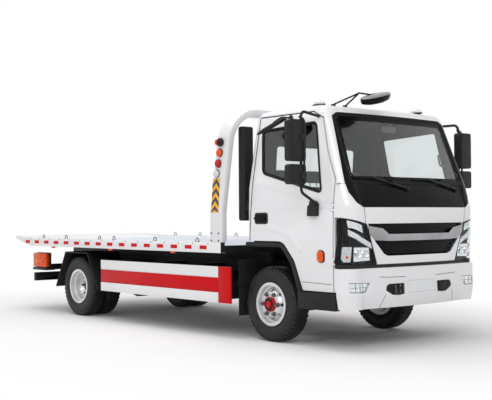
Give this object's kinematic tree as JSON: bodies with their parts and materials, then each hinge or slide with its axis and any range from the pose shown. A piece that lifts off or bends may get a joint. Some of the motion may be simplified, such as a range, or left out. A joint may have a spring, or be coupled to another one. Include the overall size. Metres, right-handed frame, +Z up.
{
  "type": "flatbed tow truck",
  "caption": "Cab-over light truck with a sliding, tilting flat recovery bed, a hoop behind the cab, twin rear wheels and side guards.",
  "frame": {"origin": "on the ground, midway between nose and tail, on the centre line", "axes": "+X forward, +Y to the left of the truck, +Z up"},
  "size_m": [6.47, 2.784, 2.5363],
  "materials": {
    "white_paint": "gloss",
    "black_paint": "satin",
    "black_plastic": "satin",
    "tyre": "matte",
    "rim_silver": "satin",
    "glass": "gloss",
    "lamp_glass": "gloss",
    "tail_lamp": "gloss",
    "seat_fabric": "matte",
    "deck_plate": "satin",
    "bare_steel": "satin",
    "cast_iron": "matte",
    "guard_paint": "gloss",
    "aluminium": "satin",
    "chrome": "gloss"
  },
  "bodies": {
    "chassis": {"cab_roof": "white_paint", "cab_rear_wall": "white_paint", "cab_front_panel": "white_paint", "cowl_panel": "black_plastic", "windshield": "glass", "rear_window": "glass", "grille": "black_plastic", "grille_band": "chrome", "headlamps": "lamp_glass", "front_bumper": "white_paint", "cab_floor": "black_paint", "dashboard": "black_plastic", "seats": "seat_fabric", "steering_wheel": "black_plastic", "cab_sills": "black_plastic", "chassis_frame": "black_paint", "subframe": "black_paint", "front_axle": "cast_iron", "rear_axle": "cast_iron", "leaf_springs": "black_paint", "engine_block": "cast_iron", "drive_line": "cast_iron", "side_guards": "guard_paint", "mudguards": "black_plastic", "fuel_tank": "aluminium", "battery_box": "black_plastic", "exhaust": "bare_steel", "rear_bar": "black_paint", "tail_lamps": "tail_lamp", "air_intake": "black_plastic", "roof_mirror": "black_plastic"},
    "right_door": {"right_door": "white_paint", "right_door_glass": "glass", "right_mirror": "black_plastic"},
    "left_door": {"left_door": "white_paint", "left_door_glass": "glass", "left_mirror": "black_plastic"},
    "right_knuckle": {"right_knuckle": "cast_iron"},
    "left_knuckle": {"left_knuckle": "cast_iron"},
    "front_right_wheel": {"front_right_tyre": "tyre", "front_right_rim": "rim_silver"},
    "front_left_wheel": {"front_left_tyre": "tyre", "front_left_rim": "rim_silver"},
    "rear_right_wheels": {"rear_right_tyres": "tyre", "rear_right_rims": "rim_silver"},
    "rear_left_wheels": {"rear_left_tyres": "tyre", "rear_left_rims": "rim_silver"},
    "tilt_frame": {"tilt_frame": "black_paint"},
    "lift_barrels": {"lift_barrels": "black_paint"},
    "lift_rods": {"lift_rods": "chrome"},
    "bed": {"bed_deck": "deck_plate", "hoop": "white_paint", "winch_frame": "black_paint"},
    "winch_drum": {"winch_drum": "bare_steel"}
  },
  "joints": [
    {"name": "right_door_hinge", "type": "hinge", "parent": "chassis", "child": "right_door", "pos_m": [2.98288, -1.007, 1.3], "axis": [0, 0, 1], "range_deg": [0, 65]},
    {"name": "left_door_hinge", "type": "hinge", "parent": "chassis", "child": "left_door", "pos_m": [2.98288, 1.007, 1.3], "axis": [0, 0, -1], "range_deg": [0, 65]},
    {"name": "left_steering", "type": "hinge", "parent": "chassis", "child": "left_knuckle", "pos_m": [2.005, 0.7, 0.3875], "axis": [0, 0, 1], "range_deg": [-35, 35]},
    {"name": "right_steering", "type": "hinge", "parent": "chassis", "child": "right_knuckle", "pos_m": [2.005, -0.7, 0.3875], "axis": [0, 0, 1], "range_deg": [-35, 35]},
    {"name": "front_right_wheel_spin", "type": "hinge", "parent": "right_knuckle", "child": "front_right_wheel", "pos_m": [2.005, -0.8275, 0.3875], "axis": [0, 1, 0], "continuous": true},
    {"name": "front_left_wheel_spin", "type": "hinge", "parent": "left_knuckle", "child": "front_left_wheel", "pos_m": [2.005, 0.8275, 0.3875], "axis": [0, 1, 0], "continuous": true},
    {"name": "rear_right_wheel_spin", "type": "hinge", "parent": "chassis", "child": "rear_right_wheels", "pos_m": [-1.715, -0.8035, 0.3875], "axis": [0, 1, 0], "continuous": true},
    {"name": "rear_left_wheel_spin", "type": "hinge", "parent": "chassis", "child": "rear_left_wheels", "pos_m": [-1.715, 0.8035, 0.3875], "axis": [0, 1, 0], "continuous": true},
    {"name": "bed_tilt", "type": "hinge", "parent": "chassis", "child": "tilt_frame", "pos_m": [-2.745, 0, 0.8], "axis": [0, -1, 0], "range_deg": [0, 14]},
    {"name": "bed_slide", "type": "slide", "parent": "tilt_frame", "child": "bed", "axis": [-1, 0, 0], "range_m": [0, 3.2]},
    {"name": "lift_barrel_swing", "type": "hinge", "parent": "chassis", "child": "lift_barrels", "pos_m": [-1.145, 0, 0.56], "axis": [0, -1, 0], "range_deg": [0, 29.86]},
    {"name": "lift_rod_slide", "type": "slide", "parent": "lift_barrels", "child": "lift_rods", "axis": [0.9518, 0, 0.3067], "range_m": [0, 0.26325]},
    {"name": "winch_drum_spin", "type": "hinge", "parent": "bed", "child": "winch_drum", "pos_m": [1.146, 0, 1.125], "axis": [0, 1, 0], "continuous": true}
  ],
  "couplings": [
    {"joint": "right_steering", "follows": "left_steering", "ratio": 1},
    {"joint": "lift_barrel_swing", "follows": "bed_tilt", "ratio": 2.1295},
    {"joint": "lift_rod_slide", "follows": "bed_tilt", "m_per_rad": 1.0753}
  ]
}
